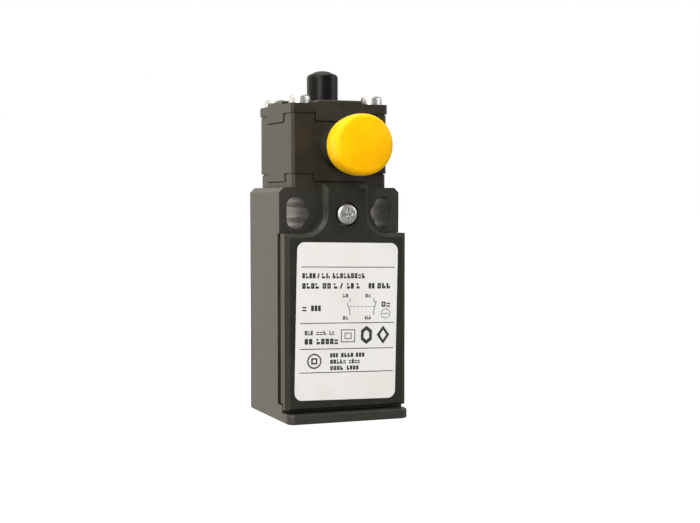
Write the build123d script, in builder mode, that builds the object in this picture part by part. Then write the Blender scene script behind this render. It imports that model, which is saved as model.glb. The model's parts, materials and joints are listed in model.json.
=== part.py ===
from build123d import *
import os

# Plunger limit switch with a reset button, in the standard 30 mm by 55 mm plastic case.
# X is across the case, -Y is the front, +Z is up. The origin is the mouth of the cable
# entry in the underside, on the axis of the plunger. All sizes are in millimetres.

# Case
case_width = 30.0
flange_front = -18.25
case_back = 12.25
flange_thickness = 2.3
corner_radius = 2.0
wall = 2.0
sill_front = -13.6
sill_top = 3.95
rim_front = -10.45
ear_front = -11.65
shoulder_height = 43.6
ear_top = 54.2
ear_chamfer = 1.1
chamber_top = 42.0
chamber_floor = 4.3
edge_round = 0.4

# Cable entry, sized for an M20 x 1.5 gland
entry_radius = 9.25
entry_length = 9.0
entry_boss_radius = 10.4

# Fixing slots in the ears, for M4 screws at 20 to 22 mm
slot_width = 4.3
slot_inner_x = 10.0
slot_outer_x = 11.0
slot_height = 7.5
slot_centre_z = 48.35

# Front cover
cover_front = -16.45
cover_rear = -12.7
cover_bottom = 3.1
cover_step_bottom = 4.45
cover_step_front = -14.2
cover_hollow_bottom = 6.1
cover_top = 55.0
cover_bevel = 0.95
cover_bottom_bevel = 0.35
neck_half_width = 5.6
neck_corner_radius = 4.7
neck_rear = -11.75
cover_screw_z = 48.0
cover_screw_seat = -14.6
cover_counterbore_radius = 2.8
cover_washer_radius = 2.6
cover_washer_thickness = 0.4
neck_clearance = 0.2
insert_radius = 2.5
insert_rear = -7.0
insert_bore_radius = 1.8

# Label
label_width = 25.0
label_height = 36.4
label_radius = 1.8
label_thickness = 0.12
label_centre_x = -0.14
label_centre_z = 23.25
label_tilt = -1.2

# Head, three stacked square blocks
base_block_half = 11.65
middle_block_half = 11.85
cap_half = 12.05
middle_bottom = 57.3
cap_bottom = 71.3
screw_seat = 73.75
cap_top = 74.55
head_corner_radius = 0.8
seam = 0.25
seam_depth = 0.4
tab_thickness = 1.3
tab_drop = 1.9
lower_tab_half_width = 6.35
upper_tab_half_width = 6.0
tab_gap = 0.2
tab_clearance = 0.1
head_screw_offset = 9.0
screw_corner_radius = 3.6
spigot_radius = 6.0
spigot_bottom = 40.6
channel_radius = 6.2

# Plunger
plunger_radius = 3.75
plunger_tip = 82.3
plunger_shoulder = 80.55
plunger_shoulder_round = 1.0
apex_flat = 0.4
plunger_travel = 5.0
stop_flange_radius = 4.7
stop_flange_bottom = 70.2
stop_flange_thickness = 0.8
stem_radius = 2.9
stem_bottom = 46.0
latch_groove_radius = 2.3
latch_groove_bottom = 67.0
latch_groove_top = 69.2
latch_groove_slope = 0.4
push_pin_radius = 2.0
push_pin_bottom = 40.5
push_pin_top = 52.0
running_gap = 0.05

# Reset button and its slide, on a horizontal axis
reset_z = 63.7
reset_travel = 4.0
button_rear_radius = 6.55
button_radius = 6.95
button_rear = -20.1
button_widest = -23.4
button_rim_radius = 6.9
button_rim = -26.6
button_rim_inner = (-27.86, 5.91)
button_front = -28.55
button_hollow_radius = 5.6
button_hollow_floor = -25.3
collar_radius = 5.2
collar_front = -20.9
collar_spring_floor = -13.2
collar_spring_radius = 4.2
collar_spigot_radius = 4.6
head_cavity_half = 6.6
latch_channel_half_width = 5.0
latch_channel_reach = 9.65
reset_stem_radius = 2.2
reset_stem_end = -9.0
latch_half_thickness = 1.1
latch_half_width = 4.6
latch_window_half_width = 3.2

# Contact block
block_half_width = 11.5
block_front = -4.5
block_rear = 6.0
block_bottom = 15.5
block_top = 40.0
block_plate_thickness = 1.4
guide_half_width = 3.5
guide_rear = 4.3
guide_bottom = 16.7
guide_top = 38.8
contact_chamber_half_width = 10.4
contact_chamber_bottom = 18.6
contact_chamber_top = 36.9
block_screw_places = [(-8.0, 38.45), (8.0, 17.0)]
block_screw_radius = 0.95
block_post_radius = 2.6
carrier_half_width = 3.1
carrier_half_depth = 3.9
carrier_bottom = 22.0
carrier_top = 38.5
carrier_boss_radius = 1.9
carrier_boss_top = 40.4
strip_thickness = 0.8
strip_inner_x = 5.0
nc_strip_bottom = 34.6
no_strip_bottom = 19.4
tab_height = 6.4
tip_radius = 1.1
tip_height = 0.6
tip_x = 6.4
bridge_half_length = 7.5
bridge_half_width = 1.2
bridge_thickness = 0.7
contact_gap = 0.1
terminal_x = (strip_inner_x + contact_chamber_half_width) / 2
nc_terminal_z = 31.4
no_terminal_z = 23.2
terminal_screw_radius = 1.25

cross_recess_width = 0.65
cross_recess_depth = 0.9

os.makedirs("parts", exist_ok=True)


def across(y, z=0.0):
    # Upright plane across the switch at depth y, centred at height z, facing the front.
    return Plane(origin=(0, y, z), x_dir=(1, 0, 0), z_dir=(0, -1, 0))


def level(z):
    # Horizontal plane at height z.
    return Plane.XY.offset(z)


def box_between(low, high, mode=Mode.ADD):
    # Box from its lowest corner to its highest corner.
    middle = tuple((a + b) / 2 for a, b in zip(low, high))
    with Locations(middle):
        Box(high[0] - low[0], high[1] - low[1], high[2] - low[2], mode=mode)


def ring(plane, outer_radius, inner_radius, thickness):
    with BuildPart() as piece:
        with BuildSketch(plane):
            Circle(outer_radius)
            Circle(inner_radius, mode=Mode.SUBTRACT)
        extrude(amount=thickness)
    return piece


def pan_head_screws(seats, head_radius, head_height, rim_round, shank_radius, shank_length):
    # Screws with a cross recess. Each seat is the plane under a head, facing the driver.
    with BuildPart() as screws:
        for seat in seats:
            with BuildSketch(seat):
                Circle(shank_radius)
            extrude(amount=-shank_length)
            with BuildSketch(seat):
                Circle(head_radius)
            extrude(amount=head_height)
            top_edges = screws.edges().filter_by(
                lambda edge: abs(seat.to_local_coords(edge.center()).Z - head_height) < 0.01
                and (edge.center() - seat.origin).length < 2 * head_radius
            )
            fillet(top_edges, rim_round)
            with BuildSketch(seat.offset(head_height)):
                Rectangle(head_radius * 1.15, cross_recess_width)
                Rectangle(cross_recess_width, head_radius * 1.15)
            extrude(amount=-cross_recess_depth, mode=Mode.SUBTRACT)
    return screws


def coil_spring(start, direction, length, radius, wire_radius, turns):
    # Open coil spring. Its wire's centre line starts and ends one wire radius inside its length.
    way = Vector(*direction)
    first = Vector(*start) + way * wire_radius
    height = length - 2 * wire_radius
    with BuildPart() as spring:
        with BuildLine():
            coil = Helix(height / turns, height, radius, center=first, direction=way)
        with BuildSketch(Plane(origin=coil @ 0, z_dir=coil % 0)):
            Circle(wire_radius)
        sweep(path=coil, is_frenet=True)
    return spring


def side_tabs(block_half, half_width, bottom, top, thickness, mode=Mode.ADD):
    # Four tabs or notches, one in the middle of each side of a square block.
    with BuildSketch(level(bottom)) as tabs:
        with PolarLocations(block_half - thickness / 2, 4):
            Rectangle(thickness, 2 * half_width)
    extrude(tabs.sketch, amount=top - bottom, mode=mode)


def square_block(half, bottom, top):
    # Square block with rounded corners, rebated round its foot to leave a seam line.
    with BuildSketch(level(bottom)) as foot:
        RectangleRounded(2 * (half - seam_depth), 2 * (half - seam_depth), head_corner_radius)
    extrude(foot.sketch, amount=seam)
    with BuildSketch(level(bottom + seam)) as outline:
        RectangleRounded(2 * half, 2 * half, head_corner_radius)
    extrude(outline.sketch, amount=top - bottom - seam)


head_corners = [
    (x, y)
    for x in (-head_screw_offset, head_screw_offset)
    for y in (-head_screw_offset, head_screw_offset)
]


def screw_holes(bottom, top, radius):
    # Four holes for the head screws.
    with BuildSketch(level(bottom)) as holes:
        with Locations(*head_corners):
            Circle(radius)
    extrude(holes.sketch, amount=top - bottom, mode=Mode.SUBTRACT)


# ---- Case ----

with BuildPart() as body_shell:
    # Base flange, which stands out in front as a lip under the cover
    with BuildSketch(Plane.XY):
        with Locations((0, (flange_front + case_back) / 2)):
            RectangleRounded(case_width, case_back - flange_front, corner_radius)
    extrude(amount=flange_thickness)
    # Walls up to the shoulders, and the ears above them
    for front, bottom, top in (
        (rim_front, flange_thickness, shoulder_height),
        (ear_front, shoulder_height, ear_top),
    ):
        with BuildSketch(level(bottom)):
            with Locations((0, (front + case_back) / 2)):
                block = Rectangle(case_width, case_back - front)
            fillet(block.vertices().group_by(Axis.Y)[-1], corner_radius)
        extrude(amount=top - bottom)
    # Sill in front of the rim
    box_between(
        (-case_width / 2, sill_front, flange_thickness),
        (case_width / 2, rim_front, sill_top),
    )
    # Chamber for the contact block and the wires, open to the front
    box_between(
        (wall - case_width / 2, rim_front, chamber_floor),
        (case_width / 2 - wall, case_back - wall, chamber_top),
        mode=Mode.SUBTRACT,
    )
    # Boss round the cable entry
    with BuildSketch(level(flange_thickness)):
        Circle(entry_boss_radius)
    extrude(amount=entry_length - flange_thickness)
    with BuildSketch(Plane.XY):
        Circle(entry_radius)
    extrude(amount=entry_length, mode=Mode.SUBTRACT)
    # Channel that holds the head's spigot
    with BuildSketch(level(chamber_top)):
        Circle(channel_radius)
    extrude(amount=ear_top - chamber_top, mode=Mode.SUBTRACT)
    # Fixing slots, each a round hole joined to an upright slot
    with BuildSketch(across(case_back)):
        for side in (-1, 1):
            with Locations((side * slot_inner_x, slot_centre_z)):
                Circle(slot_width / 2)
            with Locations((side * slot_outer_x, slot_centre_z)):
                SlotOverall(slot_height, slot_width, rotation=90)
    extrude(amount=case_back - ear_front, mode=Mode.SUBTRACT)
    # Hole for the cover screw's insert
    with BuildSketch(across(insert_rear, cover_screw_z)):
        Circle(insert_radius)
    extrude(amount=insert_rear - ear_front, mode=Mode.SUBTRACT)
    # Posts that carry the contact block
    with BuildSketch(across(case_back - wall)):
        with Locations(*block_screw_places):
            Circle(block_post_radius)
    extrude(amount=case_back - wall - block_rear)
    with BuildSketch(across(case_back - wall)):
        with Locations(*block_screw_places):
            Circle(block_screw_radius)
    extrude(amount=case_back - wall - block_rear, mode=Mode.SUBTRACT)
    # Bevels along the top sides, and rounded edges on the flange
    top_sides = body_shell.faces().sort_by(Axis.Z)[-1].edges().filter_by(Axis.Y)
    chamfer([top_sides.sort_by(Axis.X)[0], top_sides.sort_by(Axis.X)[-1]], ear_chamfer)
    lip_edges = body_shell.edges().filter_by_position(
        Axis.Z, flange_thickness - 0.01, flange_thickness + 0.01
    ).filter_by_position(Axis.Y, flange_front - 1, sill_front - 0.05)
    fillet(lip_edges, edge_round)
    fillet(body_shell.faces().sort_by(Axis.Z)[0].outer_wire().edges(), edge_round)
body_shell.part.label = "body_shell"

cover_screw_insert = ring(
    across(insert_rear, cover_screw_z), insert_radius, insert_bore_radius, insert_rear - ear_front
)
cover_screw_insert.part.label = "cover_screw_insert"

# ---- Front cover ----

with BuildPart() as front_cover:
    side = case_width / 2
    arc_x = neck_half_width + neck_corner_radius
    arc_z = shoulder_height + neck_corner_radius
    arc_mid = neck_corner_radius * (1 - 2**-0.5)
    with BuildSketch(across(cover_rear)):
        with BuildLine():
            Polyline(
                (0, cover_bottom),
                (side, cover_bottom),
                (side, shoulder_height),
                (arc_x, shoulder_height),
            )
            ThreePointArc(
                (arc_x, shoulder_height),
                (neck_half_width + arc_mid, shoulder_height + arc_mid),
                (neck_half_width, arc_z),
            )
            Polyline((neck_half_width, arc_z), (neck_half_width, cover_top), (0, cover_top))
            mirror(about=Plane.YZ)
        make_face()
    extrude(amount=cover_rear - cover_front)
    # Narrow bevel along the bottom edge, wide bevel along all the others
    bottom_edge = front_cover.faces().sort_by(Axis.Y)[0].outer_wire().edges().sort_by(Axis.Z)[0]
    chamfer(bottom_edge, cover_bottom_bevel)
    outline_edges = front_cover.faces().sort_by(Axis.Y)[0].outer_wire().edges().sort_by(Axis.Z)
    chamfer(outline_edges[1:], cover_bevel)
    # The neck reaches back to the ears
    box_between(
        (-neck_half_width, cover_rear, shoulder_height + neck_clearance),
        (neck_half_width, neck_rear, cover_top),
    )
    # Hollow inside
    box_between(
        (wall - side, cover_front + wall, cover_hollow_bottom),
        (side - wall, cover_rear, shoulder_height - wall),
        mode=Mode.SUBTRACT,
    )
    # Step that clears the sill
    box_between(
        (-side, cover_step_front, cover_bottom),
        (side, cover_rear, cover_step_bottom),
        mode=Mode.SUBTRACT,
    )
    # Screw hole with its counterbore
    with Locations(across(cover_front, cover_screw_z)):
        CounterBoreHole(
            radius=insert_bore_radius + 0.1,
            counter_bore_radius=cover_counterbore_radius,
            counter_bore_depth=cover_screw_seat - cover_front,
        )
front_cover.part.label = "front_cover"

gasket_width = 1.4
gasket_outer_x = case_width / 2 - 1.2
gasket_inner_x = gasket_outer_x - gasket_width
gasket_bottom = 4.8
gasket_top = 43.2
gasket_outer_round = 1.4
gasket_inner_round = 0.6
with BuildPart() as cover_gasket:
    with BuildSketch(across(rim_front - running_gap)):
        with Locations((0, (gasket_bottom + gasket_top) / 2)):
            RectangleRounded(2 * gasket_outer_x, gasket_top - gasket_bottom, gasket_outer_round)
            RectangleRounded(
                2 * gasket_inner_x,
                gasket_top - gasket_bottom - 2 * gasket_width,
                gasket_inner_round,
                mode=Mode.SUBTRACT,
            )
    extrude(amount=rim_front - running_gap - cover_rear)
cover_gasket.part.label = "cover_gasket"

cover_screw_washer = ring(
    across(cover_screw_seat, cover_screw_z),
    cover_washer_radius,
    insert_bore_radius,
    cover_washer_thickness,
)
cover_screw_washer.part.label = "cover_screw_washer"

cover_screw_head_seat = cover_screw_seat - cover_washer_thickness
cover_screw = pan_head_screws(
    [across(cover_screw_head_seat, cover_screw_z)],
    head_radius=2.45,
    head_height=1.95,
    rim_round=0.7,
    shank_radius=insert_bore_radius - running_gap,
    shank_length=insert_rear - 1.0 - cover_screw_head_seat,
)
cover_screw.part.label = "cover_screw"

with BuildPart() as rating_label:
    with BuildSketch(across(cover_front)):
        with Locations((label_centre_x, label_centre_z)):
            RectangleRounded(label_width, label_height, label_radius, rotation=label_tilt)
    extrude(amount=label_thickness)
rating_label.part.label = "rating_label"

# ---- Head blocks ----

gasket_ring_radius = 7.4
gasket_ring_thickness = 0.8
spring_well_radius = 4.6
spring_well_floor = 50.0
clip_thickness = 0.6
clip_bottom = 41.3
clip_groove_radius = 5.2
clip_outer_radius = 8.0
clip_mouth = 8.8
screw_clearance_radius = 1.6
screw_pilot_radius = 1.5
screw_pilot_floor = 0.7

with BuildPart() as head_base_block:
    with BuildSketch(level(ear_top)):
        RectangleRounded(2 * base_block_half, 2 * base_block_half, head_corner_radius)
    extrude(amount=middle_bottom - ear_top)
    # Notches that take the middle block's tabs
    side_tabs(
        base_block_half,
        lower_tab_half_width + tab_gap,
        middle_bottom + seam - tab_drop - tab_gap,
        middle_bottom,
        tab_thickness - (middle_block_half - base_block_half) + tab_clearance,
        mode=Mode.SUBTRACT,
    )
    # Gasket groove, then the spigot inside it
    with BuildSketch(level(ear_top)):
        Circle(gasket_ring_radius)
    extrude(amount=gasket_ring_thickness, mode=Mode.SUBTRACT)
    with BuildSketch(level(spigot_bottom)):
        Circle(spigot_radius)
    extrude(amount=ear_top + gasket_ring_thickness - spigot_bottom)
    # Groove for the retaining clip
    with BuildSketch(level(clip_bottom - running_gap)):
        Circle(spigot_radius)
        Circle(clip_groove_radius, mode=Mode.SUBTRACT)
    extrude(amount=clip_thickness + 2 * running_gap, mode=Mode.SUBTRACT)
    # Spring well above the plunger stem's guide
    with BuildSketch(level(spring_well_floor)):
        Circle(spring_well_radius)
    extrude(amount=middle_bottom - spring_well_floor, mode=Mode.SUBTRACT)
    with BuildSketch(level(spigot_bottom)):
        Circle(stem_radius + running_gap)
    extrude(amount=spring_well_floor - spigot_bottom, mode=Mode.SUBTRACT)
    screw_holes(ear_top + screw_pilot_floor, middle_bottom, screw_pilot_radius)
head_base_block.part.label = "head_base_block"

head_gasket = ring(level(ear_top), gasket_ring_radius, spigot_radius, gasket_ring_thickness)
head_gasket.part.label = "head_gasket"

with BuildPart() as head_retaining_clip:
    with BuildSketch(level(clip_bottom)):
        Circle(clip_outer_radius)
        Circle(clip_groove_radius + running_gap, mode=Mode.SUBTRACT)
        with Locations((0, -clip_outer_radius)):
            Rectangle(clip_mouth, 2 * clip_outer_radius, mode=Mode.SUBTRACT)
    extrude(amount=clip_thickness)
head_retaining_clip.part.label = "head_retaining_clip"

with BuildPart() as head_middle_block:
    square_block(middle_block_half, middle_bottom, cap_bottom)
    side_tabs(
        middle_block_half,
        lower_tab_half_width,
        middle_bottom + seam - tab_drop,
        middle_bottom + seam,
        tab_thickness,
    )
    # Notches that take the cap's tabs
    side_tabs(
        middle_block_half,
        upper_tab_half_width + tab_gap,
        cap_bottom + seam - tab_drop - tab_gap,
        cap_bottom,
        tab_thickness - (cap_half - middle_block_half) + tab_clearance,
        mode=Mode.SUBTRACT,
    )
    # Cavity for the plunger, crossed by the channel of the latch slide
    with BuildSketch(level(middle_bottom)):
        RectangleRounded(2 * head_cavity_half, 2 * head_cavity_half, 1.0)
        Rectangle(2 * latch_channel_half_width, 2 * latch_channel_reach)
    extrude(amount=cap_bottom - middle_bottom, mode=Mode.SUBTRACT)
    # Hole for the reset collar
    with BuildSketch(across(-latch_channel_reach, reset_z)):
        Circle(collar_spigot_radius)
    extrude(amount=middle_block_half - latch_channel_reach, mode=Mode.SUBTRACT)
    screw_holes(middle_bottom, cap_bottom, screw_clearance_radius)
head_middle_block.part.label = "head_middle_block"

plateau_bevel = 0.25
bush_radius = 5.4
bush_flange_radius = 6.2
bush_flange_thickness = 0.7
bush_top = cap_top - 0.25
seal_radius = 4.6
seal_bottom = 72.6
seal_thickness = 1.0

with BuildPart() as head_cap:
    square_block(cap_half, cap_bottom, cap_top)
    side_tabs(
        cap_half,
        upper_tab_half_width,
        cap_bottom + seam - tab_drop,
        cap_bottom + seam,
        tab_thickness,
    )
    # Plateau left standing between the screws' sunk corners
    for x, y in head_corners:
        with BuildSketch(level(screw_seat)):
            with Locations((x, y)):
                Circle(screw_corner_radius)
            corner_reach = cap_half - head_screw_offset
            with Locations((x + (corner_reach if x > 0 else -corner_reach) / 2, y)):
                Rectangle(corner_reach, 2 * screw_corner_radius)
            with Locations((x, y + (corner_reach if y > 0 else -corner_reach) / 2)):
                Rectangle(2 * screw_corner_radius, corner_reach)
        extrude(amount=cap_top - screw_seat, mode=Mode.SUBTRACT)
    chamfer(head_cap.faces().sort_by(Axis.Z)[-1].outer_wire().edges(), plateau_bevel)
    # Stepped bore for the plunger's bush
    with BuildSketch(level(cap_bottom)):
        Circle(bush_radius)
    extrude(amount=cap_top - cap_bottom, mode=Mode.SUBTRACT)
    with BuildSketch(level(cap_bottom)):
        Circle(bush_flange_radius)
    extrude(amount=bush_flange_thickness, mode=Mode.SUBTRACT)
    screw_holes(cap_bottom, screw_seat, screw_clearance_radius)
head_cap.part.label = "head_cap"

head_screws = pan_head_screws(
    [Plane(origin=(x, y, screw_seat), x_dir=(1, 0.4, 0), z_dir=(0, 0, 1)) for x, y in head_corners],
    head_radius=2.5,
    head_height=2.05,
    rim_round=0.8,
    shank_radius=1.45,
    shank_length=screw_seat - ear_top - 0.8,
)
head_screws.part.label = "head_screws"

with BuildPart() as plunger_bush:
    with BuildSketch(level(cap_bottom)):
        Circle(bush_radius)
    extrude(amount=bush_top - cap_bottom)
    with BuildSketch(level(cap_bottom)):
        Circle(bush_flange_radius)
    extrude(amount=bush_flange_thickness)
    with BuildSketch(level(cap_bottom)):
        Circle(plunger_radius + running_gap)
    extrude(amount=bush_top - cap_bottom, mode=Mode.SUBTRACT)
    with BuildSketch(level(seal_bottom)):
        Circle(seal_radius)
    extrude(amount=seal_thickness, mode=Mode.SUBTRACT)
plunger_bush.part.label = "plunger_bush"

plunger_lip_seal = ring(
    level(seal_bottom), seal_radius, plunger_radius + running_gap, seal_thickness
)
plunger_lip_seal.part.label = "plunger_lip_seal"

# ---- Plunger ----

with BuildPart() as plunger:
    # Half section, turned about the plunger's axis: push pin bore, stem, latch groove,
    # stop flange, shaft, rounded shoulder and shallow dome
    with BuildSketch(Plane.XZ):
        with BuildLine():
            Polyline(
                (0, push_pin_top),
                (push_pin_radius, push_pin_top),
                (push_pin_radius, stem_bottom),
                (stem_radius, stem_bottom),
                (stem_radius, latch_groove_bottom),
                (latch_groove_radius, latch_groove_bottom + latch_groove_slope),
                (latch_groove_radius, latch_groove_top - latch_groove_slope),
                (stem_radius, latch_groove_top),
                (stem_radius, stop_flange_bottom),
                (stop_flange_radius, stop_flange_bottom),
                (stop_flange_radius, stop_flange_bottom + stop_flange_thickness),
                (plunger_radius, stop_flange_bottom + stop_flange_thickness),
                (plunger_radius, plunger_shoulder),
            )
            tip_edge = (
                plunger_radius - plunger_shoulder_round,
                plunger_shoulder + plunger_shoulder_round,
            )
            TangentArc((plunger_radius, plunger_shoulder), tip_edge, tangent=(0, 1))
            TangentArc((apex_flat, plunger_tip), tip_edge, tangent=(1, 0))
            Polyline((apex_flat, plunger_tip), (0, plunger_tip), (0, push_pin_top))
        make_face()
    revolve(axis=Axis.Z)
plunger.part.label = "plunger"

with BuildPart() as plunger_push_pin:
    with BuildSketch(level(push_pin_bottom)):
        Circle(push_pin_radius)
    extrude(amount=push_pin_top - push_pin_bottom)
    fillet(plunger_push_pin.faces().sort_by(Axis.Z)[0].edges(), 0.5)
plunger_push_pin.part.label = "plunger_push_pin"

spring_seat_bottom = 61.8
spring_seat_radius = 4.4
spring_seat_thickness = 0.6
plunger_retaining_ring = ring(
    level(spring_seat_bottom), spring_seat_radius, stem_radius, spring_seat_thickness
)
plunger_retaining_ring.part.label = "plunger_retaining_ring"

plunger_spring = coil_spring(
    start=(0, 0, spring_well_floor),
    direction=(0, 0, 1),
    length=spring_seat_bottom - spring_well_floor,
    radius=3.75,
    wire_radius=0.35,
    turns=6,
)
plunger_spring.part.label = "plunger_spring"

# ---- Reset button ----

reset_seal_rear = -11.2
reset_seal_radius = 3.2
reset_seal_thickness = 1.0
with BuildPart() as reset_collar:
    # Sleeve in front of the head, with a spigot through the head's front wall
    with BuildSketch(across(-middle_block_half, reset_z)):
        Circle(collar_radius)
    extrude(amount=-middle_block_half - collar_front)
    with BuildSketch(across(-latch_channel_reach, reset_z)):
        Circle(collar_spigot_radius)
    extrude(amount=middle_block_half - latch_channel_reach)
    with BuildSketch(across(collar_spring_floor, reset_z)):
        Circle(collar_spring_radius)
    extrude(amount=collar_spring_floor - collar_front, mode=Mode.SUBTRACT)
    with BuildSketch(across(-latch_channel_reach, reset_z)):
        Circle(reset_stem_radius + running_gap)
    extrude(amount=-latch_channel_reach - collar_spring_floor, mode=Mode.SUBTRACT)
    with BuildSketch(across(reset_seal_rear, reset_z)):
        Circle(reset_seal_radius)
    extrude(amount=reset_seal_thickness, mode=Mode.SUBTRACT)
reset_collar.part.label = "reset_collar"

reset_seal = ring(
    across(reset_seal_rear, reset_z),
    reset_seal_radius,
    reset_stem_radius + running_gap,
    reset_seal_thickness,
)
reset_seal.part.label = "reset_seal"

stem_socket_end = -27.0
skirt_break = 0.3
with BuildPart() as reset_button:
    # Cup with a barrelled skirt and a shallow dome, turned about the button's axis
    with BuildSketch(Plane.YZ):
        with BuildLine():
            Polyline(
                (button_front, reset_z + apex_flat),
                (button_front, reset_z),
                (stem_socket_end, reset_z),
                (stem_socket_end, reset_z + reset_stem_radius),
                (button_hollow_floor, reset_z + reset_stem_radius),
                (button_hollow_floor, reset_z + button_hollow_radius),
                (button_rear, reset_z + button_hollow_radius),
                (button_rear, reset_z + button_rear_radius - skirt_break),
                (button_rear - skirt_break, reset_z + button_rear_radius),
            )
            ThreePointArc(
                (button_rear - skirt_break, reset_z + button_rear_radius),
                (button_widest, reset_z + button_radius),
                (button_rim, reset_z + button_rim_radius),
            )
            dome_edge = (button_rim_inner[0], reset_z + button_rim_inner[1])
            TangentArc((button_rim, reset_z + button_rim_radius), dome_edge, tangent=(-1, 0))
            TangentArc((button_front, reset_z + apex_flat), dome_edge, tangent=(0, 1))
        make_face()
    revolve(axis=Axis((0, 0, reset_z), (0, 1, 0)))
reset_button.part.label = "reset_button"

tenon_radius = 0.8
latch_front = reset_stem_end
latch_window_front = -latch_window_half_width - reset_travel
latch_window_rear = latch_window_half_width
latch_rear = 5.2
with BuildPart() as reset_stem:
    with BuildSketch(across(reset_stem_end, reset_z)):
        Circle(reset_stem_radius)
    extrude(amount=reset_stem_end - stem_socket_end)
    with BuildSketch(across(latch_window_front, reset_z)):
        Circle(tenon_radius)
    extrude(amount=latch_window_front - reset_stem_end)
reset_stem.part.label = "reset_stem"

reset_ring_radius = 3.4
reset_ring_thickness = 0.5
reset_retaining_ring = ring(
    across(reset_stem_end, reset_z), reset_ring_radius, reset_stem_radius, reset_ring_thickness
)
reset_retaining_ring.part.label = "reset_retaining_ring"

with BuildPart() as latch_slide:
    # Flat slide with a long window, so that it can cross the plunger
    with BuildSketch(level(reset_z - latch_half_thickness)):
        with Locations((0, (latch_front + latch_rear) / 2)):
            RectangleRounded(2 * latch_half_width, latch_rear - latch_front, 0.8)
        with Locations((0, (latch_window_front + latch_window_rear) / 2)):
            SlotOverall(
                latch_window_rear - latch_window_front,
                2 * latch_window_half_width,
                rotation=90,
                mode=Mode.SUBTRACT,
            )
    extrude(amount=2 * latch_half_thickness)
    with BuildSketch(across(latch_window_front, reset_z)):
        Circle(tenon_radius)
    extrude(amount=latch_window_front - latch_front, mode=Mode.SUBTRACT)
latch_slide.part.label = "latch_slide"

reset_spring = coil_spring(
    start=(0, collar_spring_floor, reset_z),
    direction=(0, -1, 0),
    length=collar_spring_floor - button_hollow_floor,
    radius=3.3,
    wire_radius=0.3,
    turns=7,
)
reset_spring.part.label = "reset_spring"

# ---- Contact block ----

strip_levels = {"nc": nc_strip_bottom, "no": no_strip_bottom}
terminal_places = [(side * terminal_x, z) for side in (-1, 1) for z in (nc_terminal_z, no_terminal_z)]
tab_front = block_front - block_plate_thickness - strip_thickness

with BuildPart() as contact_block_base:
    box_between(
        (-block_half_width, block_front, block_bottom),
        (block_half_width, block_rear, block_top),
    )
    # Guide for the carrier, with a contact chamber on each side
    box_between(
        (-guide_half_width, block_front, guide_bottom),
        (guide_half_width, guide_rear, guide_top),
        mode=Mode.SUBTRACT,
    )
    box_between(
        (-contact_chamber_half_width, block_front, contact_chamber_bottom),
        (contact_chamber_half_width, guide_rear, contact_chamber_top),
        mode=Mode.SUBTRACT,
    )
    # Hole over the carrier for the push pin
    with BuildSketch(level(guide_top)):
        Circle(push_pin_radius + 0.6)
    extrude(amount=block_top - guide_top, mode=Mode.SUBTRACT)
    with BuildSketch(across(block_rear)):
        with Locations(*block_screw_places):
            Circle(block_screw_radius)
    extrude(amount=block_rear - block_front, mode=Mode.SUBTRACT)
contact_block_base.part.label = "contact_block_base"

with BuildPart() as contact_block_cover:
    box_between(
        (-block_half_width, block_front - block_plate_thickness, block_bottom),
        (block_half_width, block_front, block_top),
    )
    # Slots for the contact strips, holes behind the terminal screws, and fixing holes
    for bottom in strip_levels.values():
        for side in (-1, 1):
            inner = side * strip_inner_x
            outer = side * contact_chamber_half_width
            box_between(
                (min(inner, outer), block_front - block_plate_thickness, bottom),
                (max(inner, outer), block_front, bottom + strip_thickness),
                mode=Mode.SUBTRACT,
            )
    with BuildSketch(across(block_front)):
        with Locations(*terminal_places):
            Circle(terminal_screw_radius + 0.3)
        with Locations(*block_screw_places):
            Circle(block_screw_radius)
    extrude(amount=block_plate_thickness, mode=Mode.SUBTRACT)
contact_block_cover.part.label = "contact_block_cover"

block_screw_head_seat = block_front - block_plate_thickness
contact_block_screws = pan_head_screws(
    [
        Plane(origin=(x, block_screw_head_seat, z), x_dir=(1, 0, 0), z_dir=(0, -1, 0))
        for x, z in block_screw_places
    ],
    head_radius=1.8,
    head_height=1.3,
    rim_round=0.5,
    shank_radius=block_screw_radius,
    shank_length=case_back - wall - 0.2 - block_screw_head_seat,
)
contact_block_screws.part.label = "contact_block_screws"


def fixed_contact(side, bottom, tab_bottom):
    # Bent brass strip: a level arm inside the block and an upright terminal tab in front.
    inner = side * strip_inner_x
    outer = side * contact_chamber_half_width
    with BuildPart() as strip:
        box_between(
            (min(inner, outer), tab_front, bottom),
            (max(inner, outer), 2.0, bottom + strip_thickness),
        )
        box_between(
            (min(inner, outer), tab_front, tab_bottom),
            (max(inner, outer), tab_front + strip_thickness, tab_bottom + tab_height),
        )
        terminal_z = nc_terminal_z if bottom == nc_strip_bottom else no_terminal_z
        with BuildSketch(across(tab_front + strip_thickness)):
            with Locations((side * terminal_x, terminal_z)):
                Circle(terminal_screw_radius)
        extrude(amount=strip_thickness, mode=Mode.SUBTRACT)
    return strip


nc_tab_bottom = nc_strip_bottom + strip_thickness - tab_height
nc_contact_left = fixed_contact(-1, nc_strip_bottom, nc_tab_bottom)
nc_contact_left.part.label = "nc_contact_left"
nc_contact_right = fixed_contact(1, nc_strip_bottom, nc_tab_bottom)
nc_contact_right.part.label = "nc_contact_right"
no_contact_left = fixed_contact(-1, no_strip_bottom, no_strip_bottom)
no_contact_left.part.label = "no_contact_left"
no_contact_right = fixed_contact(1, no_strip_bottom, no_strip_bottom)
no_contact_right.part.label = "no_contact_right"


def contact_tips(bottoms):
    # Silver tips on both sides, each a short cylinder.
    with BuildPart() as tips:
        for bottom in bottoms:
            with BuildSketch(level(bottom)):
                with Locations((-tip_x, 0), (tip_x, 0)):
                    Circle(tip_radius)
            extrude(amount=tip_height)
    return tips


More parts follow.
